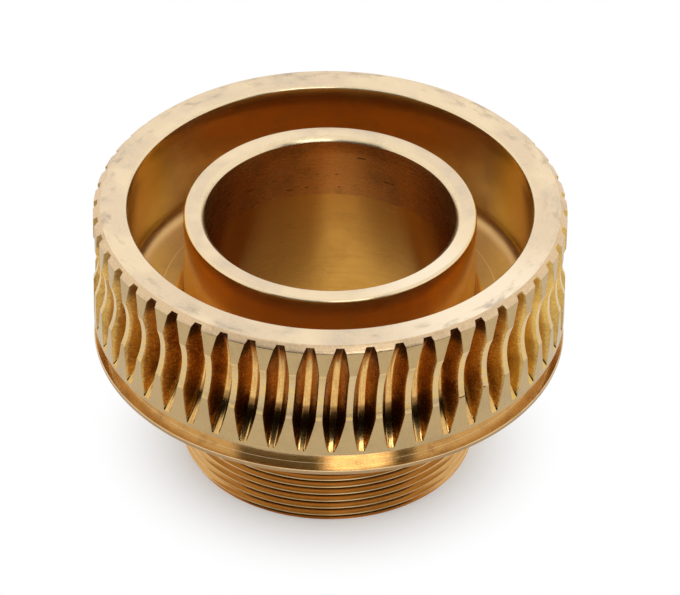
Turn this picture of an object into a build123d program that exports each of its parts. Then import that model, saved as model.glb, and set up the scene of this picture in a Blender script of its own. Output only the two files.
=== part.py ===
from build123d import *
import os
from math import atan, cos, degrees, radians, sin, sqrt, tan

# Bronze worm wheel, turned from one piece and hobbed. Millimetres and degrees.
# The wheel's axis is +Z. The origin is the centre of the threaded hub's end face,
# and the open annular recess faces up.

# Tooth data of the worm drive
module = 1.5
teeth = 50
worm_pitch_d = 28.0
worm_starts = 1
pressure_angle = 20.0
dedendum_factor = 1.25
space_width = 2.56          # one tooth space at the pitch circle, with its backlash
first_space = 2.0           # the first space, measured from the front (-Y) towards +X
land_cut_width = 3.0        # past both edges of a tooth's tip, and clear of the teeth beside it

# Rim and web
rim_width = 26.3            # rim face to the flange's underside
rim_rise = 1.0              # the rim's outside stands this far above the throat
rim_wall = 1.375            # metal left between the tooth roots and the recess
tooth_plane_drop = 10.4     # rim face down to the tooth ring's mid-plane
web_thickness = 7.0
rim_bevel = 1.05            # outer edge of the rim face
rim_inner_break = 0.35      # inner edge of the rim face
recess_wall_fillet = 2.5    # recess floor into the rim's inner wall
recess_hub_fillet = 1.6     # recess floor into the hub
fillet_flats = 3            # short bevels that each of the two fillets is drawn with

# Groove that parts the tooth band from the thin flange under it
tooth_band = 22.2           # rim face down to the groove's upper edge
groove_depth = 2.1
flange_thickness = 0.8

# Hub
bore_d = 42.5
bore_chamfer = 0.8
hub_wall = 3.5              # inside the recess
hub_break = 0.4
hub_face_drop = 1.5         # hub face below the rim face

# Threaded end, drawn at the thread's outer diameter
thread_wall = 3.75          # from the bore to the thread's crests
threaded_end = 22.1         # flange's underside down to the hub's end
thread_chamfer = 0.7
relief_width = 3.0          # run-out groove of the thread, against the flange
relief_depth = 1.2

# Sizes that follow from the tooth data
addendum = module
dedendum = dedendum_factor * module
pitch_r = module * teeth / 2
throat_r = pitch_r + addendum
root_r = pitch_r - dedendum
centre_distance = pitch_r + worm_pitch_d / 2
throat_arc = centre_distance - throat_r
hob_r = centre_distance - root_r
lead_angle = degrees(atan(module * worm_starts / worm_pitch_d))
root_half = space_width / 2 - dedendum * tan(radians(pressure_angle))

# Radii of the turned section
outside_r = throat_r + rim_rise
groove_r = outside_r - groove_depth
recess_r = root_r - rim_wall
bore_r = bore_d / 2
hub_r = bore_r + hub_wall
thread_r = bore_r + thread_wall
relief_r = thread_r - relief_depth

# Heights of the turned section
flange_under = threaded_end
rim_face = flange_under + rim_width
hub_face = rim_face - hub_face_drop
recess_floor = flange_under + web_thickness
tooth_plane = rim_face - tooth_plane_drop
groove_top = rim_face - tooth_band
flange_top = flange_under + flange_thickness

# Each flank is part of a cylinder. Its radius draws a space in from its middle
# to the root's width where the space runs out of the rim's outside.
whole_depth = outside_r - root_r
run_out = sqrt(hob_r**2 - (centre_distance - outside_r) ** 2)
flank_bulge = whole_depth * sin(radians(pressure_angle))
flank_r = (run_out**2 + flank_bulge**2) / (2 * flank_bulge)


def lower_outline():
    """Half section of the threaded end and the flange, from the bore outwards."""
    return [
        (bore_r + bore_chamfer, 0),
        (thread_r - thread_chamfer, 0),
        (thread_r, thread_chamfer),
        (thread_r, flange_under - relief_width),
        (relief_r, flange_under - relief_width),
        (relief_r, flange_under),
        (outside_r, flange_under),
        (outside_r, flange_top),
    ]


def rim_outline():
    """Half section of the groove and the rim, up and over to the recess."""
    return [
        (groove_r, flange_top),
        (groove_r, groove_top),
        (outside_r, groove_top),
        (outside_r, rim_face - rim_bevel),
        (outside_r - rim_bevel, rim_face),
        (recess_r + rim_inner_break, rim_face),
        (recess_r, rim_face - rim_inner_break),
    ]


def floor_fillet(centre_r, radius, start):
    """Points of a fillet on the recess floor: a quarter turn, clockwise from the start angle."""
    centre_z = recess_floor + radius
    turns = [radians(start - 90 * k / fillet_flats) for k in range(fillet_flats + 1)]
    return [(centre_r + radius * cos(t), centre_z + radius * sin(t)) for t in turns]


def recess_outline():
    """Half section of the recess floor, from the rim's inner wall to the hub."""
    at_wall = floor_fillet(recess_r - recess_wall_fillet, recess_wall_fillet, 0)
    at_hub = floor_fillet(hub_r + recess_hub_fillet, recess_hub_fillet, -90)
    return at_wall + at_hub


def hub_outline():
    """Half section of the hub inside the recess, and back down the bore."""
    return [
        (hub_r, hub_face - hub_break),
        (hub_r - hub_break, hub_face),
        (bore_r + bore_chamfer, hub_face),
        (bore_r, hub_face - bore_chamfer),
        (bore_r, bore_chamfer),
    ]


def turned_blank():
    """The wheel as it leaves the lathe: one half section turned about the axis."""
    points = lower_outline() + rim_outline() + recess_outline() + hub_outline()
    section = make_face(Polyline(*points, close=True))
    return revolve(Plane.XZ * section, Axis.Z)


def land_cut():
    """Cut that hollows the tip of one tooth to fit round the worm."""
    worm = Pos(centre_distance, 0) * Circle(throat_arc)
    near_side = Pos(outside_r, 0) * Rectangle(4 * rim_rise, 2 * throat_arc)
    cut = extrude(Plane.XZ * (worm & near_side), land_cut_width / 2, both=True)
    return Pos(0, 0, tooth_plane) * cut


def flank_cylinder(side):
    """Cylinder that cuts one flank. The side is 1 towards +Y and -1 towards -Y."""
    lean = radians(pressure_angle)
    x = root_r + flank_r * sin(lean)
    y = side * (root_half - flank_r * cos(lean))
    turn = Rot(0, 0, side * pressure_angle) * Rot(0, 90, 0)
    return Pos(x, y, 0) * turn * Cylinder(flank_r, 4 * whole_depth)


def tooth_space():
    """Space between two teeth: what the hob and both flanks share, turned by the lead angle."""
    hob = Pos(centre_distance, 0, 0) * Rot(90, 0, 0) * Cylinder(hob_r, hob_r)
    space = hob & flank_cylinder(1) & flank_cylinder(-1)
    return Pos(0, 0, tooth_plane) * space.rotate(Axis.X, -lead_angle)


def worm_wheel():
    """The turned blank with its hollowed tooth tips and its ring of tooth spaces."""
    first_tip = first_space + 180 / teeth
    tips = PolarLocations(0, teeth, start_angle=first_tip - 90)
    spaces = PolarLocations(0, teeth, start_angle=first_space - 90)
    tip, space = land_cut(), tooth_space()
    hollowed = turned_blank() - [place * tip for place in tips]
    return hollowed - [place * space for place in spaces]


os.makedirs("parts", exist_ok=True)
export_step(worm_wheel(), "parts/worm_wheel.step")
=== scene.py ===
from math import cos, pi, radians, sin, sqrt, tan

import bmesh
import bpy
from mathutils import Matrix, Vector


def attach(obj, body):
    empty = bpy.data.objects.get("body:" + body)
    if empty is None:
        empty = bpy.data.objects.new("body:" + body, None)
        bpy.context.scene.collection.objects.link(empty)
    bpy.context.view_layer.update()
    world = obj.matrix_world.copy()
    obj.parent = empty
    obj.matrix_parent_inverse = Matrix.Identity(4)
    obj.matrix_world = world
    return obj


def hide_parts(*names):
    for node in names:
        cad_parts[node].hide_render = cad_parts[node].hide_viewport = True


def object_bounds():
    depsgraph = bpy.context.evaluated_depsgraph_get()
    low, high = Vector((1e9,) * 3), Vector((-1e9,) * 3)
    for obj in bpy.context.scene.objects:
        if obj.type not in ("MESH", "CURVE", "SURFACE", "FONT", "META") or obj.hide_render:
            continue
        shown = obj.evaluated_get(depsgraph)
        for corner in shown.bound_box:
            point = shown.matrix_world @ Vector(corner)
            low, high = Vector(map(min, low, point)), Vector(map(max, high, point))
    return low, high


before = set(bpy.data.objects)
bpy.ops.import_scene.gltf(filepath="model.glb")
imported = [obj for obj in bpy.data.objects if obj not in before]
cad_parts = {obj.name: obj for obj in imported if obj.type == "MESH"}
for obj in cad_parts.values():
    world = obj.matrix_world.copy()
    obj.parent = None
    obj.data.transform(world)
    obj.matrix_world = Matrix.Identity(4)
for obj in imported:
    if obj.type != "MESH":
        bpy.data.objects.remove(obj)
cad_low, cad_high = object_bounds()

# Lengths are in millimetres and heights are measured up from the threaded end's face.
# The wheel's axis is Z, and the camera looks from the front, along +Y.
MM = 0.001

# Sizes that the CAD node gives
outside_r = (cad_high.x - cad_low.x) / 2 / MM
rim_face = (cad_high.z - cad_low.z) / MM

# Tooth ring
teeth = 50
centre_distance = 51.5
throat_arc = 12.4
hob_r = 15.875
root_half = 0.6
pressure_angle = radians(20)
tip_round = 0.3             # rounding of the hob's tooth, so of the root's corners
throat_plane = rim_face - 10.28
hob_plane = rim_face - 10.5
first_space = radians(2.007)  # the first space at the hob's plane, from the front towards +X
lean = radians(0.0894)      # turn of a space for each millimetre of height
edge_break = 0.07
break_share = 0.25          # most of a shallow space's depth that its edge break takes

# Turned section
rim_bevel = 1.05
bevel_ease = 0.12           # from the bevel's foot down to where the rim's outside is full
rim_inner_r = 34.25
rim_inner_break = 0.35
hub_outer_r = 24.75
hub_face = 46.9
hub_break = 0.4
bore_r = 21.25
bore_chamfer = 0.8
mouth_end = 35.1            # the bore is finished more coarsely above this height
recess_floor = 29.1
wall_fillet = 2.5
hub_fillet = 1.6
groove_top = 26.2
groove_bottom_r = 37.9
groove_foot_ease = 0.03
groove_roof_ease = 0.15
flange_top = 22.9
flange_under = 22.1
flange_break = 0.10
corner_ease = 0.06          # rounding of the other turned corners

# Thread
thread_r = 25.0
thread_root_r = 24.08
thread_pitch = 1.5
root_round = 0.2165         # radius of the rounded root
root_half_width = root_round * cos(radians(30))
crest_half = 0.075          # half the width of a crest
thread_top = 19.1
thread_chamfer = 0.7
relief_r = 23.8

# Fineness of the mesh
turned_columns = 250
flank_steps = (0.16, 0.36, 0.57, 0.79)  # points down a flank, as shares of its depth
column_gap = 0.010          # least width of a column where a space runs out
edge_clear = 0.05           # from a space's edge to the tooth's tip
edge_step = 0.03            # and on to the first column of the tip
upper_rows = 7              # of the tooth ring, from the bevel down to the throat
throat_rows = 12
lower_rows = 9              # from the throat down to the spaces' ends
bevel_rows = (0.25, 0.65)   # under the rim face
edge_rows = (0.35, 0.14, 0.08, 0)  # over the groove
top_search = 2              # the spaces run out within this height under the rim face
bottom_search = 4           # and within this height over the groove
face_step = 0.5             # from a flat face's edge to the next ring on it
end_step = 0.4
root_shares = (-1, -0.5, 0, 0.5, 1)  # points across a thread's root, in half widths
least_gap = 0.004           # between two points up the thread
halvings = 40               # in the search for a height
sharp_angle = radians(28)   # from this angle on, an edge is shaded sharp


class Surface:
    """Points and faces of one closed mesh, collected ring by ring."""

    def __init__(self):
        self.points = []
        self.faces = []
        self.zones = []

    def point(self, radius, turn, height):
        """Adds a point. The turn is measured from the front towards +X."""
        self.points.append((radius * sin(turn) * MM, -radius * cos(turn) * MM, height * MM))
        return len(self.points) - 1

    def ring(self, radius, height):
        """A level circle with the lathe's columns, as (turn, index) pairs."""
        turns = [2 * pi * k / turned_columns for k in range(turned_columns)]
        return [(turn, self.point(radius, turn, height)) for turn in turns]

    def face(self, corners, zone):
        self.faces.append(corners)
        self.zones.append(zone)

    def band(self, first, second, zone):
        """Joins two rings that have the same number of points."""
        for k in range(len(first)):
            n = (k + 1) % len(first)
            self.face((first[k][1], first[n][1], second[n][1], second[k][1]), zone)

    def stitch(self, first, second, zone):
        """Joins two open rows of any number of points by the points' first values."""
        i = j = 0
        while i < len(first) - 1 or j < len(second) - 1:
            at_end = j == len(second) - 1
            if at_end or (i < len(first) - 1 and first[i + 1][0] <= second[j + 1][0]):
                self.face((first[i][1], first[i + 1][1], second[j][1]), zone)
                i += 1
            else:
                self.face((first[i][1], second[j + 1][1], second[j][1]), zone)
                j += 1

    def stitch_rings(self, first, second, zone):
        """Joins two closed rings whose points are sorted by turn."""
        self.stitch(opened(first), opened(second), zone)


def opened(ring):
    """A ring as an open row that starts at its least turn and ends at the same point."""
    start = min(range(len(ring)), key=lambda k: ring[k][0])
    row = ring[start:] + ring[:start]
    return row + [(row[0][0] + 2 * pi, row[0][1])]


def between(x, x0, x1, y0, y1):
    """Value at x on the straight line through (x0, y0) and (x1, y1)."""
    return y0 + (y1 - y0) * (x - x0) / (x1 - x0)


def polyline(x, points):
    """Value at x of a line through points whose x falls from each to the next."""
    for (xa, ya), (xb, yb) in zip(points, points[1:]):
        if x >= xb:
            return between(x, xa, xb, ya, yb)
    return points[-1][1]


# The rim's outside before it is hobbed, as (height, radius) from the top down. Its corners are
# rounded by a few hundredths of a millimetre.
bevel_foot = rim_face - rim_bevel
rim_top_r = outside_r - rim_bevel
rim_line = [
    (rim_face, rim_top_r - 0.10),
    (rim_face - 0.03, rim_top_r - 0.01),
    (rim_face - 0.10, rim_top_r + 0.08),
    (bevel_foot + 0.07, outside_r - 0.08),
    (bevel_foot - 0.03, outside_r - 0.02),
    (bevel_foot - bevel_ease, outside_r),
    (groove_top + 0.08, outside_r),
    (groove_top, outside_r - 0.08),
]

throat_reach = sqrt(throat_arc**2 - (centre_distance - outside_r) ** 2)
throat_foot = throat_plane - throat_reach


def land_radius(height):
    """Radius of the teeth's tips at a height, with the hollow that fits round the worm."""
    radius = polyline(height, rim_line)
    offset = height - throat_plane
    if abs(offset) < throat_arc:
        radius = min(radius, centre_distance - sqrt(throat_arc**2 - offset**2))
    return radius


def hob_rise(radius, height):
    """How far a point in a space's middle lies inside the hob's outer radius."""
    return hob_r - sqrt((centre_distance - radius) ** 2 + (height - hob_plane) ** 2)


def height_at_rise(rise, low, high):
    """Height between low and high at which the rim's outside has the given rise."""
    rising = hob_rise(land_radius(high), high) > hob_rise(land_radius(low), low)
    for _ in range(halvings):
        middle = (low + high) / 2
        below = hob_rise(land_radius(middle), middle) < rise
        low, high = (middle, high) if below == rising else (low, middle)
    return (low + high) / 2


half_turn = (pi / 2 - pressure_angle) / 2
corner_start = root_half - tip_round * tan(half_turn)
root_corner = [
    (corner_start + tip_round * sin(turn), tip_round * (1 - cos(turn)))
    for turn in (0, half_turn, 2 * half_turn)
]
flank_start, flank_foot = root_corner[-1]


def half_space(height):
    """(offset, radius) pairs from the middle of a space to the middle of the tooth beside it."""
    land = land_radius(height)
    rise = hob_rise(land, height)
    depth = max(rise, 0)
    drop = min(edge_break, break_share * depth)
    break_rise = max(hob_rise(land - drop, height), 0)
    pairs = [(0, 0), (corner_start / 2, 0)] + root_corner
    span = max(break_rise - flank_foot, 0)
    rises = [flank_foot + span * share for share in flank_steps] + [flank_foot + span]
    for k, step in enumerate(rises, 1):
        offset = flank_start + (step - flank_foot) * tan(pressure_angle) + k * column_gap
        pairs.append((offset, step))
    points = []
    for offset, step in pairs:
        reach = (hob_r - step) ** 2 - (height - hob_plane) ** 2
        cut = centre_distance - sqrt(reach) if reach > 0 else land
        points.append((offset, min(cut, land)))
    past_flank = flank_start + max(rise - flank_foot, 0) * tan(pressure_angle) + edge_clear
    edge = max(points[-1][0] + 2 * column_gap, past_flank)
    middle = pi * land / teeth
    points += [(edge + edge_step, land), ((edge + middle) / 2, land), (middle, land)]
    return points


def tooth_rows():
    """Heights of the tooth ring's rows, from the top down."""
    run_out = [0, root_corner[1][1], flank_foot]
    top = [height_at_rise(rise, rim_face - top_search, rim_face) for rise in run_out]
    bottom = [height_at_rise(rise, groove_top, groove_top + bottom_search) for rise in run_out]
    throat_head = throat_plane + throat_reach
    band_head = bevel_foot - bevel_ease
    upper = [between(k, 0, upper_rows, band_head, throat_head) for k in range(1, upper_rows)]
    throat = [between(k, 0, throat_rows, throat_head, throat_foot) for k in range(throat_rows + 1)]
    lower = [between(k, 0, lower_rows, throat_foot, bottom[2]) for k in range(1, lower_rows)]
    bevel = [height for height, _ in rim_line[:6]] + [rim_face - drop for drop in bevel_rows]
    edge = [groove_top + rise for rise in edge_rows]
    return sorted(bevel + top + upper + throat + lower + bottom + edge, reverse=True)


def tooth_ring(surface):
    """The hobbed band. Returns its top and bottom rings."""
    heights = tooth_rows()
    rings = []
    for height in heights:
        half = half_space(height)
        left = [(-offset, radius) for offset, radius in reversed(half[1:-1])]
        pairs = left + half
        centre = first_space + lean * (height - hob_plane)
        ring = []
        for tooth in range(teeth):
            for offset, radius in pairs:
                turn = centre + 2 * pi * tooth / teeth + offset / radius
                ring.append((turn, surface.point(radius, turn, height)))
        rings.append(ring)
    columns = len(rings[0]) // teeth
    middle_column = columns // 2 - 1
    root_columns = 4            # from a space's middle to the end of its rounded root
    flank_columns = root_columns + len(flank_steps) + 1
    for upper, lower, high, low in zip(rings, rings[1:], heights, heights[1:]):
        in_gap = hob_rise(land_radius((high + low) / 2), (high + low) / 2) > 0
        for k in range(len(upper)):
            n = (k + 1) % len(upper)
            aside = abs(k % columns + 0.5 - middle_column)
            if in_gap and aside < root_columns:
                zone = "root"
            elif in_gap and aside < flank_columns:
                zone = "flank"
            elif high > bevel_foot:
                zone = "bevel"
            elif abs((high + low) / 2 - throat_plane) < throat_reach:
                zone = "throat"
            else:
                zone = "band"
            surface.face((upper[k][1], upper[n][1], lower[n][1], lower[k][1]), zone)
    return rings[0], rings[-1]


def arc(centre_r, centre_z, radius, start, end, steps):
    """Points of an arc in the half section, from the start angle to the end angle in degrees."""
    turns = [radians(between(k, 0, steps, start, end)) for k in range(steps + 1)]
    return [(centre_r + radius * cos(t), centre_z + radius * sin(t)) for t in turns]


def eased(corner, before, after, size=corner_ease):
    """A sharp corner of the section as two points just beside it."""
    result = []
    for other in (before, after):
        way = Vector(other) - Vector(corner)
        result.append(tuple(Vector(corner) + way.normalized() * size))
    return result


def levels(start, end, steps):
    """Points on a straight stretch of the section, without its ends."""
    return [
        (between(k, 0, steps, start[0], end[0]), between(k, 0, steps, start[1], end[1]))
        for k in range(1, steps)
    ]


def turned_band(surface, previous, points, zone):
    """Adds rings at the section's points and joins each to the one before it."""
    for radius, height in points:
        ring = surface.ring(radius, height)
        surface.band(previous, ring, zone)
        previous = ring
    return previous


def rim_top_and_recess(surface, tooth_top):
    """From the teeth's top edge over the rim face, down the recess and up to the hub face."""
    first = surface.ring(rim_top_r - face_step, rim_face)
    surface.stitch_rings(tooth_top, first, "face")
    inner = (rim_inner_r + rim_inner_break, rim_face)
    under = (rim_inner_r, rim_face - rim_inner_break)
    wall_end = (rim_inner_r, recess_floor + wall_fillet)
    hub_top = (hub_outer_r, hub_face - hub_break)
    face_edge = (hub_outer_r - hub_break, hub_face)
    ring = turned_band(surface, first, [(inner[0] + 3 * face_step, rim_face)], "face")
    first_inner, second_inner = eased(inner, (outside_r, rim_face), under)
    ring = turned_band(surface, ring, [first_inner], "face")
    ring = turned_band(surface, ring, [second_inner] + eased(under, inner, wall_end), "edge")
    ring = turned_band(surface, ring, levels(under, wall_end, 5), "rim_wall")
    fillet = arc(rim_inner_r - wall_fillet, recess_floor + wall_fillet, wall_fillet, 0, -90, 9)
    ring = turned_band(surface, ring, fillet[:3], "rim_wall")
    ring = turned_band(surface, ring, fillet[3:], "floor")
    floor = levels(fillet[-1], (hub_outer_r + hub_fillet, recess_floor), 3)
    ring = turned_band(surface, ring, floor, "floor")
    fillet = arc(hub_outer_r + hub_fillet, recess_floor + hub_fillet, hub_fillet, -90, -180, 7)
    ring = turned_band(surface, ring, fillet, "floor")
    ring = turned_band(surface, ring, levels(fillet[-1], hub_top, 5), "hub_wall")
    low, high = eased(hub_top, fillet[-1], face_edge)
    ring = turned_band(surface, ring, [low], "hub_wall")
    outer, face_start = eased(face_edge, hub_top, (bore_r, hub_face))
    return turned_band(surface, ring, [high, outer, face_start], "edge")


def hub_face_and_bore(surface, ring):
    """From the hub face down the bore and out over the threaded end's face."""
    top_edge = (bore_r + bore_chamfer, hub_face)
    top_foot = (bore_r, hub_face - bore_chamfer)
    low_foot = (bore_r, bore_chamfer)
    low_edge = (bore_r + bore_chamfer, 0)
    face_end, slope_start = eased(top_edge, (hub_outer_r, hub_face), top_foot)
    middle = ((hub_outer_r - hub_break + top_edge[0]) / 2, hub_face)
    ring = turned_band(surface, ring, [middle, face_end], "face")
    ring = turned_band(surface, ring, [slope_start] + eased(top_foot, top_edge, low_foot), "edge")
    mouth_foot = (bore_r, mouth_end)
    ring = turned_band(surface, ring, levels(top_foot, mouth_foot, 4) + [mouth_foot], "mouth")
    ring = turned_band(surface, ring, levels(mouth_foot, low_foot, 7), "bore")
    low, slope = eased(low_foot, top_foot, low_edge)
    ring = turned_band(surface, ring, [low], "bore")
    slope_end, face_start = eased(low_edge, low_foot, (thread_r, 0))
    ring = turned_band(surface, ring, [slope, slope_end], "edge")
    return turned_band(surface, ring, [face_start, (thread_root_r - end_step, 0)], "end")


def thread_radius(phase):
    """Radius of the thread at a share of its pitch, measured up from the crest's middle."""
    way = abs((phase + 0.5) % 1 - 0.5) * thread_pitch
    if way <= crest_half:
        return thread_r
    from_root = thread_pitch / 2 - way
    if from_root < root_half_width:
        return thread_root_r + root_round - sqrt(root_round**2 - from_root**2)
    sag = root_round - sqrt(root_round**2 - root_half_width**2)
    return between(from_root, thread_pitch / 2 - crest_half, root_half_width, thread_r, thread_root_r + sag)


def thread_column(surface, turn):
    """Points of the thread up one column, as (height, index) pairs."""
    root_marks = [thread_pitch / 2 + root_half_width * share for share in root_shares]
    marks = [-crest_half, crest_half] + root_marks
    start = turn / (2 * pi)
    heights = [0, thread_top]
    for k in range(-1, int(thread_top / thread_pitch) + 2):
        heights += [(k + start) * thread_pitch + mark for mark in marks]
    heights = sorted(h for h in heights if 0 <= h <= thread_top)
    heights = [h for k, h in enumerate(heights) if k == 0 or h - heights[k - 1] > least_gap]
    heights[-1] = thread_top
    line = [(h, thread_radius(h / thread_pitch - start)) for h in heights]
    result = []
    for (h0, r0), (h1, r1) in zip(line, line[1:]):
        result.append((h0, min(r0, thread_r - thread_chamfer + h0)))
        over0 = r0 - (thread_r - thread_chamfer + h0)
        over1 = r1 - (thread_r - thread_chamfer + h1)
        if over0 * over1 < 0:
            h = between(0, over0, over1, h0, h1)
            if min(h - h0, h1 - h) > least_gap / 2:
                result.append((h, thread_r - thread_chamfer + h))
    result.append((line[-1][0], line[-1][1]))
    return [(h, surface.point(r, turn, h)) for h, r in result]


def threaded_end(surface, ring):
    """From the end's face up over the thread to its run-out groove."""
    turns = [2 * pi * k / turned_columns for k in range(turned_columns)]
    columns = [thread_column(surface, turn) for turn in turns]
    start = [(turn, column[0][1]) for turn, column in zip(turns, columns)]
    surface.band(ring, start, "end")
    for k, column in enumerate(columns):
        surface.stitch(column, columns[(k + 1) % len(columns)], "thread")
    top = [(turn, column[-1][1]) for turn, column in zip(turns, columns)]
    return turned_band(surface, top, [(relief_r, thread_top)], "thread")


def flange_and_groove(surface, ring, tooth_bottom):
    """From the run-out groove over the flange and up to the teeth's lower edge."""
    inner = (relief_r, flange_under)
    low = (outside_r, flange_under)
    high = (outside_r, flange_top)
    crease = (groove_bottom_r, flange_top)
    roof_corner = (groove_bottom_r, groove_top)
    band_edge = (outside_r, groove_top)
    ring = turned_band(surface, ring, levels((relief_r, thread_top), inner, 2) + [inner], "under")
    ring = turned_band(surface, ring, levels(inner, low, 6), "under")
    under_end, edge_foot = eased(low, inner, high, flange_break)
    edge_head, over_start = eased(high, low, crease, flange_break)
    ring = turned_band(surface, ring, [under_end], "under")
    ring = turned_band(surface, ring, [edge_foot, edge_head], "flange")
    ring = turned_band(surface, ring, [over_start] + levels(over_start, crease, 2), "groove")
    over_end, wall_foot = eased(crease, high, roof_corner, groove_foot_ease)
    wall_head, roof_start = eased(roof_corner, crease, band_edge, groove_roof_ease)
    wall = [wall_foot] + levels(wall_foot, wall_head, 3) + [wall_head]
    ring = turned_band(surface, ring, [over_end] + wall + [roof_start], "groove")
    ring = turned_band(surface, ring, levels(roof_start, band_edge, 2), "groove")
    surface.stitch_rings(ring, tooth_bottom, "groove")


zone_order = [
    "face", "bevel", "band", "throat", "flank", "root", "edge", "rim_wall", "floor", "hub_wall",
    "mouth", "bore", "end", "thread", "under", "flange", "groove",
]


def build_wheel():
    """One closed mesh of the whole wheel."""
    surface = Surface()
    top, bottom = tooth_ring(surface)
    ring = rim_top_and_recess(surface, top)
    ring = hub_face_and_bore(surface, ring)
    ring = threaded_end(surface, ring)
    flange_and_groove(surface, ring, bottom)
    mesh = bpy.data.meshes.new("worm_wheel_finished")
    mesh.from_pydata(surface.points, [], surface.faces)
    mesh.polygons.foreach_set("material_index", [zone_order.index(z) for z in surface.zones])
    work = bmesh.new()
    work.from_mesh(mesh)
    bmesh.ops.recalc_face_normals(work, faces=work.faces)
    work.to_mesh(mesh)
    work.free()
    mesh.shade_smooth()
    mesh.set_sharp_from_angle(angle=sharp_angle)
    return mesh


class Graph:
    """Short calls that build the nodes of one material."""

    def __init__(self, name):
        self.material = bpy.data.materials.new(name)
        self.material.use_nodes = True
        self.tree = self.material.node_tree
        self.shader = self.tree.nodes["Principled BSDF"]

    def node(self, kind, **settings):
        made = self.tree.nodes.new(kind)
        for name, value in settings.items():
            setattr(made, name, value)
        return made

    def feed(self, socket, value):
        """Links an output to a socket, or sets the socket to a constant."""
        if isinstance(value, bpy.types.NodeSocket):
            self.tree.links.new(value, socket)
        elif socket.type == "RGBA":
            socket.default_value = (*value, 1)
        else:
            socket.default_value = value

    def feed_shader(self, values):
        for name, value in values.items():
            self.feed(self.shader.inputs[name], value)

    def math(self, operation, a, b=0.0, clamp=False):
        made = self.node("ShaderNodeMath", operation=operation, use_clamp=clamp)
        self.feed(made.inputs[0], a)
        self.feed(made.inputs[1], b)
        return made.outputs[0]

    def product(self, first, *others):
        for other in others:
            first = self.math("MULTIPLY", first, other)
        return first

    def rest(self, share):
        """What a share leaves of the whole."""
        return self.math("SUBTRACT", 1.0, share)

    def off(self, value, middle):
        """How far a value is from the middle."""
        return self.math("ABSOLUTE", self.math("SUBTRACT", value, middle))

    def join(self, x, y, z):
        made = self.node("ShaderNodeCombineXYZ")
        for socket, value in zip(made.inputs, (x, y, z)):
            self.feed(socket, value)
        return made.outputs[0]

    def split(self, vector):
        made = self.node("ShaderNodeSeparateXYZ")
        self.feed(made.inputs[0], vector)
        return made.outputs

    def remap(self, value, low, high, start, end):
        """Smooth step of a value from one span to another."""
        made = self.node("ShaderNodeMapRange", interpolation_type="SMOOTHSTEP")
        for socket, number in zip(made.inputs, (value, low, high, start, end)):
            self.feed(socket, number)
        return made.outputs[0]

    def ramp(self, value, span, share=1.0):
        """Smooth step from nothing at the span's start to the share at its end."""
        return self.remap(value, *span, 0.0, share)

    def window(self, value, rise, fall):
        """1 between two soft edges and 0 outside them. Both spans run towards the inside."""
        return self.product(self.ramp(value, rise), self.ramp(value, fall))

    def blend(self, share, first, second):
        """Colour between two colours."""
        made = self.node("ShaderNodeMix", data_type="RGBA")
        self.feed(made.inputs[0], share)
        self.feed(made.inputs[6], first)
        self.feed(made.inputs[7], second)
        return made.outputs[2]

    def noise(self, vector, scale, detail=2.0, roughness=0.5, w=None):
        made = self.node("ShaderNodeTexNoise", noise_dimensions="3D" if w is None else "4D")
        self.feed(made.inputs["Vector"], vector)
        self.feed(made.inputs["Scale"], scale)
        self.feed(made.inputs["Detail"], detail)
        self.feed(made.inputs["Roughness"], roughness)
        if w is not None:
            self.feed(made.inputs["W"], w)
        return made.outputs[0]

    def millimetres(self):
        """The object's own coordinates in millimetres."""
        scale = self.node("ShaderNodeVectorMath", operation="SCALE")
        self.feed(scale.inputs[0], self.node("ShaderNodeTexCoord").outputs["Object"])
        self.feed(scale.inputs["Scale"], 1 / MM)
        return scale.outputs[0]


# Noise of the bronze: repeats for each millimetre, and spans over which a mark comes up
mottle_per_mm = 0.22
speck_per_mm = 1.6
fleck_per_mm = 2.7
warm_per_mm = 0.09
smudge_per_mm = 0.55
mottle_span = (0.45, 0.72)
speck_span = (0.35, 0.65)
line_span = (0.35, 0.70)
grain_span = (0.38, 0.62)
fleck_span = (0.57, 0.72)
streak_span = (0.42, 0.68)
warm_span = (0.45, 0.60)
smudge_span = (0.50, 0.68)

# Repeats for each radius round the axis
line_stretch = 3.0
smudge_stretch = 9.0
streaks_round = 220.0
dash_breaks = 9.0

streaks_up = 0.25           # repeats for each millimetre of height
dash_fade = 0.06
dash_half_width = (0.16, 0.06)
dash_share = 0.9
stain_gain = 2.2            # of the mottled patches, over the stained share
line_stain = 0.35           # of the tool marks, over the stained share
specks_left = 0.4           # of a stained patch between its specks
grain_height = 4.0          # of the grain in the bump, for a strength of 1
quarter_turn = 0.25         # turns the gloss from along the tool marks to across them

# Change of roughness: the noise's span, then the change at its two ends
gloss_of_lines = (0.3, 0.7, -0.03, 0.03)
gloss_of_mottle = (0.4, 0.7, 0.0, 0.04)


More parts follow.
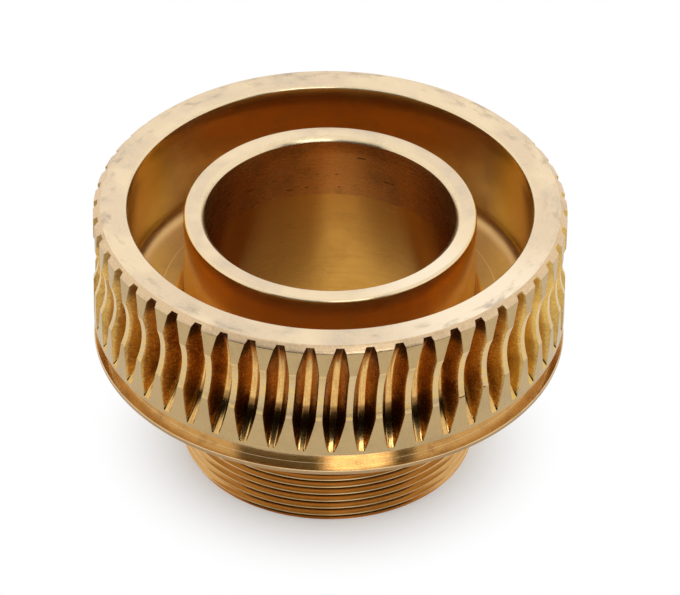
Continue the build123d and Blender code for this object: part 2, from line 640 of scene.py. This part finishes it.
class Lathe(Graph):
    """A material's nodes with the wheel's own coordinates in millimetres."""

    def __init__(self, name):
        super().__init__(name)
        self.place = self.millimetres()
        self.x, self.y, self.height = self.split(self.place)
        squares = self.math("ADD", self.product(self.x, self.x), self.product(self.y, self.y))
        self.radius = self.math("SQRT", squares)
        self.across = self.math("DIVIDE", self.x, self.radius)
        self.along = self.math("DIVIDE", self.y, self.radius)

    def turned_lines(self, per_mm, stretch, detail=3.0):
        """Marks of the lathe's tool: noise that runs round the axis and fades slowly along it."""
        vector = self.join(
            self.product(self.radius, per_mm),
            self.product(self.across, stretch),
            self.product(self.along, stretch),
        )
        return self.noise(vector, 1.0, detail, 0.6, w=self.product(self.height, per_mm))

    def streaks(self):
        """Fine marks that run up the tooth spaces."""
        vector = self.join(
            self.product(self.across, streaks_round),
            self.product(self.along, streaks_round),
            self.product(self.height, streaks_up),
        )
        return self.noise(vector, 1.0, 2.0, 0.6)

    def dash(self, ring_height, rarity):
        """Share of a broken dark line that runs round the axis at a height."""
        place = self.join(self.across, self.along, ring_height)
        breaks = self.noise(place, dash_breaks, 3.0, 0.7)
        near = self.ramp(self.off(self.height, ring_height), dash_half_width)
        return self.product(near, self.ramp(breaks, (rarity, rarity + dash_fade), dash_share))


class Finish:
    """How one zone of the wheel was left by its tool, and any painted shade in its tooth spaces."""

    def __init__(self, colour, stain, stained, roughness, spread, lines=4.0, depth=2.0, grain=0.1,
                 flecks=0.0, grain_per_mm=4.5, dashes=(), streaks=0.0, crest=0.0, top_shade=None, throat_shade_rise=0.0):
        self.colour = colour
        self.stain = stain              # darker, duller colour
        self.stained = stained          # share of the surface that is stained
        self.roughness = roughness
        self.spread = spread            # share by which the gloss spreads across the tool marks
        self.lines = lines              # tool marks for each millimetre
        self.depth = depth              # of the marks, in micrometres
        self.grain = grain              # strength of the fine grain
        self.flecks = flecks            # strength of the pale flecks
        self.grain_per_mm = grain_per_mm
        self.dashes = dashes            # broken dark lines round the axis: their heights and how rare they are
        self.streaks = streaks          # strength of the hob's marks, which run up the space
        self.crest = crest              # share of paler metal on the thread's worn crests
        self.top_shade = top_shade                # painted shade at the top of a space: where it starts and is full, under the rim face, and its share
        self.throat_shade_rise = throat_shade_rise      # of a space's painted brown shade over the throat's foot


mouth_dashes = ((43.1, 0.60), (39.25, 0.57), (36.6, 0.60))
throat_dashes = ((throat_foot + 0.12, 0.56),)

# Each row gives, in order: colour, stain, stained, roughness, spread, lines, depth, grain and flecks
finishes = {
    "face": Finish((0.86, 0.67, 0.45), (0.52, 0.46, 0.38), 0.16, 0.32, 0.4, 5.0, 3.0, 0.16),
    "bevel": Finish((0.78, 0.56, 0.34), (0.44, 0.32, 0.20), 0.22, 0.28, 0.5, 4.0, 4.0, 0.2, 0.3),
    "band": Finish((0.55, 0.385, 0.18), (0.34, 0.24, 0.13), 0.12, 0.30, 0.5, 4.0, 3.0, 0.22),
    "throat": Finish((0.80, 0.53, 0.17), (0.66, 0.49, 0.28), 0.45, 0.28, 0.3, 3.0, 3.0, 0.9,
                     grain_per_mm=2.4, dashes=throat_dashes),
    "flank": Finish((0.68, 0.37, 0.09), (0.26, 0.09, 0.02), 0.75, 0.26, 0.0, 2.0, 1.0, 0.32, 0.45,
                    top_shade=(5.2, 2.6, 0.95), throat_shade_rise=1.5),
    "root": Finish((0.84, 0.52, 0.18), (0.50, 0.24, 0.06), 0.10, 0.16, 0.0, 4.0, 2.0, 0.35, 0.35,
                   streaks=0.6, top_shade=(3.6, 1.9, 0.92), throat_shade_rise=0.5),
    "edge": Finish((0.90, 0.72, 0.46), (0.50, 0.38, 0.24), 0.10, 0.22, 0.6),
    "rim_wall": Finish((0.74, 0.45, 0.15), (0.38, 0.19, 0.06), 0.15, 0.19, 0.7, 4.0, 1.2),
    "floor": Finish((0.58, 0.44, 0.26), (0.38, 0.27, 0.14), 0.15, 0.30, 0.7, 4.0, 3.0),
    "hub_wall": Finish((0.88, 0.57, 0.21), (0.46, 0.22, 0.07), 0.10, 0.20, 0.7, 4.0, 1.2),
    "mouth": Finish((0.62, 0.28, 0.065), (0.30, 0.13, 0.03), 0.30, 0.26, 0.9, 5.0, 0.8, 0.2,
                    dashes=mouth_dashes),
    "bore": Finish((0.64, 0.33, 0.065), (0.40, 0.18, 0.03), 0.08, 0.22, 0.9, 3.0, 0.4),
    "end": Finish((0.70, 0.50, 0.26), (0.40, 0.28, 0.14), 0.20, 0.32, 0.5, 4.0, 3.0),
    "thread": Finish((0.64, 0.35, 0.115), (0.42, 0.22, 0.07), 0.12, 0.14, 0.3, crest=0.8),
    "under": Finish((0.60, 0.42, 0.20), (0.36, 0.24, 0.11), 0.20, 0.30, 0.6, 3.0, 3.0),
    "flange": Finish((0.43, 0.28, 0.14), (0.30, 0.20, 0.10), 0.15, 0.26, 0.6),
    "groove": Finish((0.81, 0.60, 0.33), (0.42, 0.25, 0.11), 0.25, 0.14, 0.5, 5.0, 2.0, 0.2),
}

# Marks, painted light and painted shade that lie over a finish: colours, and the spans over which they come
# up
fleck_colour = (0.92, 0.70, 0.32)
dash_colour = (0.05, 0.02, 0.005)
crest_colour = (0.80, 0.62, 0.36)
crest_radii = (thread_r - 0.07, thread_r - 0.02)
warm_colour = (0.95, 0.76, 0.50)
# Painted sheen on the faces towards the front right, and where it lies
painted_sheen_colour = (1.0, 0.84, 0.62)
sheen_across = (0.1, 0.6)
sheen_along = (-0.2, -0.6)
smudge_colour = (0.38, 0.30, 0.22)
smudge_radii = (35.2, 37.6)
# Painted golden highlight on the sides of the recess's outer wall, and where it lies across X
painted_highlight_colour = (1.0, 0.62, 0.09)
painted_highlight_x = (26.5, 30.5)
scribed_colour = (0.86, 0.72, 0.50)
scribed_r = 28.6
scribed_half_width = (0.10, 0.04)
# Painted highlight on the recess floor's fillets, and the radii over which it comes up
fillet_highlight_colour = (0.72, 0.46, 0.19)
wall_fillet_radii = (31.8, 32.8)
hub_fillet_radii = (26.4, 25.8)
# Painted shade on both sides of the bore, and where it lies across X
bore_shade_colour = (0.30, 0.12, 0.02)
bore_shade_middle = 1.5
bore_shade_x = (11.0, 19.0)
# Painted light in the tooth spaces at the wheel's two sides, and where it lies across X
lit_side_colours = ((0.80, 0.53, 0.15), (0.60, 0.34, 0.07))
lit_right = (24.0, 35.0)
lit_left = (-26.0, -37.0)
# Painted shade at the top of the tooth spaces
top_shade_colour = (0.075, 0.042, 0.022)
# Painted brown shade in the spaces under the throat, and the spans over which it comes up
throat_shade_colour = (0.16, 0.06, 0.012)
throat_shade_fade = 0.8
throat_shade_foot = (throat_foot - 4.9, throat_foot - 2.7)
throat_shade_x = (27.0, 10.0)
throat_shade_shares = (0.2, 0.75)


def face_marks_and_sheen(mat, base):
    """Warm patches, a painted sheen at the front right and smudges along the outer edge."""
    warm = mat.ramp(mat.noise(mat.place, warm_per_mm), warm_span, 0.7)
    base = mat.blend(warm, base, warm_colour)
    # Painted sheen: the faces are paler towards the front right, where they mirror more light
    painted_sheen = mat.product(mat.ramp(mat.across, sheen_across), mat.ramp(mat.along, sheen_along))
    base = mat.blend(painted_sheen, base, painted_sheen_colour)
    smudges = mat.ramp(mat.turned_lines(smudge_per_mm, smudge_stretch, 5.0), smudge_span, 0.55)
    return mat.blend(mat.product(mat.ramp(mat.radius, smudge_radii), smudges), base, smudge_colour)


def rim_wall_highlight(mat, base):
    """A painted golden highlight on both sides of the recess's outer wall."""
    return mat.blend(mat.ramp(mat.off(mat.x, 0.0), painted_highlight_x), base, painted_highlight_colour)


def floor_marks_and_highlight(mat, base):
    """A scribed line on the recess floor, and a painted highlight, redder and brighter, on its fillets."""
    scribed = mat.ramp(mat.off(mat.radius, scribed_r), scribed_half_width, 0.7)
    base = mat.blend(scribed, base, scribed_colour)
    # Painted highlight on both fillets
    at_wall, at_hub = mat.ramp(mat.radius, wall_fillet_radii), mat.ramp(mat.radius, hub_fillet_radii)
    return mat.blend(mat.math("ADD", at_wall, at_hub), base, fillet_highlight_colour)


def bore_painted_shade(mat, base):
    """Painted shade on both sides of the bore."""
    return mat.blend(mat.ramp(mat.off(mat.x, bore_shade_middle), bore_shade_x, 0.55), base, bore_shade_colour)


zone_marks_and_light = {
    "face": face_marks_and_sheen,
    "rim_wall": rim_wall_highlight,
    "floor": floor_marks_and_highlight,
    "mouth": bore_painted_shade,
    "bore": bore_painted_shade,
}


def space_painted_light(mat, look, base, share):
    """Painted shade in the tooth spaces: at the top, and as a brown band under the throat.

    At the wheel's two sides, painted light makes the spaces golden and the painted shade at their top
    lighter.
    """
    # Painted light: the spaces are golden at the wheel's two sides, with less painted shade at their top
    lit_sides = mat.math("ADD", mat.ramp(mat.x, lit_right, 0.9), mat.ramp(mat.x, lit_left, 0.5))
    base = mat.blend(lit_sides, base, mat.blend(share, *lit_side_colours))
    start, full, most = look.top_shade
    # Painted shade at the top of the spaces, under the rim face
    top_shade = mat.ramp(mat.height, (rim_face - start, rim_face - full), most)
    base = mat.blend(mat.product(top_shade, mat.rest(lit_sides)), base, top_shade_colour)
    # Painted brown shade in the spaces under the throat, strongest towards the front and back, where X is
    # small
    throat_shade_head = throat_foot + look.throat_shade_rise
    throat_shade = mat.window(mat.height, (throat_shade_head, throat_shade_head - throat_shade_fade), throat_shade_foot)
    throat_shade = mat.product(throat_shade, mat.remap(mat.off(mat.x, 0.0), *throat_shade_x, *throat_shade_shares))
    return mat.blend(throat_shade, base, throat_shade_colour)


def bronze(zone):
    """Bronze as it leaves the tool: fine turned lines, small stains and uneven gloss, and painted light and
    shade in some zones.
    """
    look = finishes[zone]
    mat = Lathe("bronze_" + zone)
    lines = mat.turned_lines(look.lines, line_stretch)
    mottle = mat.noise(mat.place, mottle_per_mm, 4.0, 0.6)
    specks = mat.noise(mat.place, speck_per_mm, 3.0, 0.6)
    grain = mat.noise(mat.place, look.grain_per_mm, 1.0)
    patch = mat.product(mat.ramp(mottle, mottle_span), mat.remap(specks, *speck_span, specks_left, 1.0))
    share = mat.product(patch, min(stain_gain * look.stained, 1.0))
    share = mat.math("ADD", share, mat.ramp(lines, line_span, line_stain * look.stained))
    share = mat.math("ADD", share, mat.ramp(grain, grain_span, look.grain), clamp=True)
    base = mat.blend(share, look.colour, look.stain)
    if zone in zone_marks_and_light:
        base = zone_marks_and_light[zone](mat, base)
    if look.flecks:
        flecks = mat.noise(mat.place, fleck_per_mm, 0.0)
        base = mat.blend(mat.ramp(flecks, fleck_span, look.flecks), base, fleck_colour)
    if look.streaks:
        base = mat.blend(mat.ramp(mat.streaks(), streak_span, look.streaks), base, look.stain)
    if look.top_shade:
        base = space_painted_light(mat, look, base, share)
    if look.crest:
        base = mat.blend(mat.ramp(mat.radius, crest_radii, look.crest), base, crest_colour)
    for ring_height, rarity in look.dashes:
        base = mat.blend(mat.dash(ring_height, rarity), base, dash_colour)
    gloss = mat.math("ADD", mat.remap(lines, *gloss_of_lines), mat.remap(mottle, *gloss_of_mottle))
    bump = mat.node("ShaderNodeBump")
    mat.feed(bump.inputs["Strength"], 1.0)
    mat.feed(bump.inputs["Distance"], look.depth * MM / 1000)
    mat.feed(bump.inputs["Height"], mat.math("ADD", lines, mat.product(grain, grain_height * look.grain)))
    mat.feed_shader({
        "Base Color": base,
        "Metallic": 1.0,
        "Roughness": mat.math("ADD", gloss, look.roughness),
        "Anisotropic": look.spread,
        "Anisotropic Rotation": quarter_turn,
        "Tangent": mat.node("ShaderNodeTangent", direction_type="RADIAL", axis="Z").outputs[0],
        "Normal": bump.outputs[0],
    })
    return mat.material


# The floor as a white sheet. Lengths from the axis, and X over -Y as the way to the side.
floor_size = 4000
floor_colour = (0.96, 0.96, 0.96)
sheet_reach = (13.0, 42.0)
dim_sides = ((-1.3, -0.8), (1.4, 0.9))
dim_y = (-8.0, -14.0)
dim_reach = (66.0, 54.0)
dim_share = 0.75
window_on_floor = ((-0.03, 0.08), (0.42, 0.26))
# Painted light: a strip of the floor under the bore that glows for mirrored rays
glow_strip_x = -5.0
glow_strip_half_width = (12.0, 4.0)
glow_strip_reach = (22.0, 18.0)
glow_strip_share = 0.95


def sheet_share(mat):
    """Share of the floor that is seen as a white sheet, which no shadow darkens.

    Camera rays and mirrored rays see it beside the wheel. Mirrored rays see it dimmed in front,
    apart from one bright gap, and as a narrow strip of painted light under the bore.
    """
    rays = mat.node("ShaderNodeLightPath").outputs
    mirrored = mat.math("MAXIMUM", rays["Is Glossy Ray"], rays["Is Transmission Ray"])
    seen = mat.math("MAXIMUM", rays["Is Camera Ray"], mirrored)
    place = mat.millimetres()
    x, y, _ = mat.split(place)
    length = mat.node("ShaderNodeVectorMath", operation="LENGTH")
    mat.feed(length.inputs[0], place)
    reach = length.outputs["Value"]
    side = mat.math("DIVIDE", x, mat.product(y, -1.0))
    dim = mat.product(mat.window(side, *dim_sides), mat.rest(mat.window(side, *window_on_floor)))
    dim = mat.product(dim, mat.ramp(y, dim_y), mat.ramp(reach, dim_reach))
    beside = mat.product(mat.ramp(reach, sheet_reach), mat.rest(mat.product(dim, mirrored, dim_share)))
    # Painted light: a glowing strip under the bore, which only the metal's mirrored rays see
    glow_strip = mat.ramp(mat.off(x, glow_strip_x), glow_strip_half_width, glow_strip_share)
    inside = mat.product(mat.ramp(reach, glow_strip_reach), glow_strip)
    return mat.math("MAXIMUM", mat.product(seen, beside), mat.product(mirrored, inside))


def floor():
    """Plain white floor that keeps the wheel's soft shadow."""
    bpy.ops.mesh.primitive_plane_add(size=floor_size * MM, location=(0, 0, 0))
    plane = bpy.context.object
    plane.name = "floor"
    mat = Graph("floor_white")
    mat.feed_shader({"Base Color": floor_colour, "Roughness": 1.0, "Specular IOR Level": 0.0})
    white = mat.node("ShaderNodeEmission")
    mix = mat.node("ShaderNodeMixShader")
    mat.feed(mix.inputs[0], sheet_share(mat))
    mat.feed(mix.inputs[1], mat.shader.outputs[0])
    mat.feed(mix.inputs[2], white.outputs[0])
    mat.feed(mat.tree.nodes["Material Output"].inputs["Surface"], mix.outputs[0])
    plane.data.materials.append(mat.material)


def camera():
    """Camera at the photograph's viewing angle: a long lens, 37 degrees above the horizon."""
    elevation = radians(37.15)
    roll = radians(0.77)
    unit = outside_r * MM
    distance = 30.59 * unit
    pixels_per_unit = 236.69
    image_width = 680
    shift_x = -0.0424 * unit
    shift_y = (0.2443 - 0.5 / pixels_per_unit) * unit
    aim = Vector((0, 0, rim_face * MM - 0.1858 * unit))
    back = Vector((0, -cos(elevation), sin(elevation)))
    right = Vector((1, 0, 0))
    up = Vector((0, sin(elevation), cos(elevation)))
    right, up = right * cos(roll) + up * sin(roll), up * cos(roll) - right * sin(roll)
    data = bpy.data.cameras.new("camera")
    data.sensor_width = 36
    data.lens = pixels_per_unit * distance / unit * data.sensor_width / image_width
    data.clip_start, data.clip_end = 0.1, 20
    view = bpy.data.objects.new("camera", data)
    spin = Matrix((right, up, back)).transposed()
    place = aim + back * distance - right * shift_x - up * shift_y
    view.matrix_world = Matrix.Translation(place) @ spin.to_4x4()
    bpy.context.scene.collection.objects.link(view)
    bpy.context.scene.camera = view


class Sky(Graph):
    """Graph for the world, which has a background in place of a surface shader."""

    def __init__(self, name):
        self.world = bpy.data.worlds.new(name)
        self.world.use_nodes = True
        self.tree = self.world.node_tree
        self.shader = self.tree.nodes["Background"]


# The tent's opening and the bright window in it. X and Z are those of a ray's direction, and a
# side is X over -Y. Each span runs from outside to inside.
tent_light = 1.0
room_light = 0.01
window_light = 4.2
gap_half_width = 0.93
gap_height = 0.61
gap_softness = 0.15
gap_sides = ((-1.17, -1.01), (1.11, 0.95))
gap_top = (0.71, 0.65)
gap_foot = (-0.10, -0.04)
in_front = (-0.05, -0.15)
window_sides = ((-0.09, 0.05), (0.74, 0.60))
window_heights = ((0.57, 0.63), (0.76, 0.66))


def studio():
    """White tent round the table, open towards the camera, where the room behind it is dark.

    The opening is an ellipse with a taller part above it, and one bright window in front.
    """
    sky = Sky("studio")
    x, y, z = sky.split(sky.node("ShaderNodeTexCoord").outputs["Generated"])
    side = sky.math("DIVIDE", x, sky.product(y, -1.0))
    front = sky.ramp(y, in_front)
    across = sky.math("POWER", sky.math("DIVIDE", x, gap_half_width), 2.0)
    up = sky.math("POWER", sky.math("DIVIDE", z, gap_height), 2.0)
    low_part = sky.ramp(sky.math("ADD", across, up), (1 + gap_softness, 1 - gap_softness))
    high_part = sky.product(sky.window(side, *gap_sides), sky.ramp(z, gap_top))
    gap = sky.product(sky.math("MAXIMUM", low_part, high_part), front, sky.ramp(z, gap_foot))
    level = sky.math("ADD", sky.product(gap, room_light - tent_light), tent_light)
    window = sky.product(sky.window(side, *window_sides), sky.window(z, *window_heights), front)
    level = sky.math("MAXIMUM", level, sky.product(window, window_light))
    rays = sky.node("ShaderNodeLightPath").outputs
    sky.feed_shader({"Strength": sky.math("MAXIMUM", level, rays["Is Camera Ray"]), "Color": (1, 1, 1)})
    bpy.context.scene.world = sky.world


def softbox(name, place, size, power):
    """Large square lamp that faces the wheel and isn't mirrored. Metres and watts."""
    data = bpy.data.lights.new(name, "AREA")
    data.size = size
    data.energy = power
    lamp = bpy.data.objects.new(name, data)
    lamp.location = place
    lamp.visible_glossy = False
    lamp.rotation_euler = (-Vector(place)).to_track_quat("-Z", "Y").to_euler()
    bpy.context.scene.collection.objects.link(lamp)


wheel = bpy.data.objects.new("worm_wheel_finished", build_wheel())
bpy.context.scene.collection.objects.link(wheel)
for zone in zone_order:
    wheel.data.materials.append(bronze(zone))
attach(wheel, "root")
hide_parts("worm_wheel")

floor()
camera()
studio()
softbox("overhead", place=(0.15, 0.75, 1.3), size=0.7, power=2)
bpy.context.scene.view_settings.view_transform = "Standard"
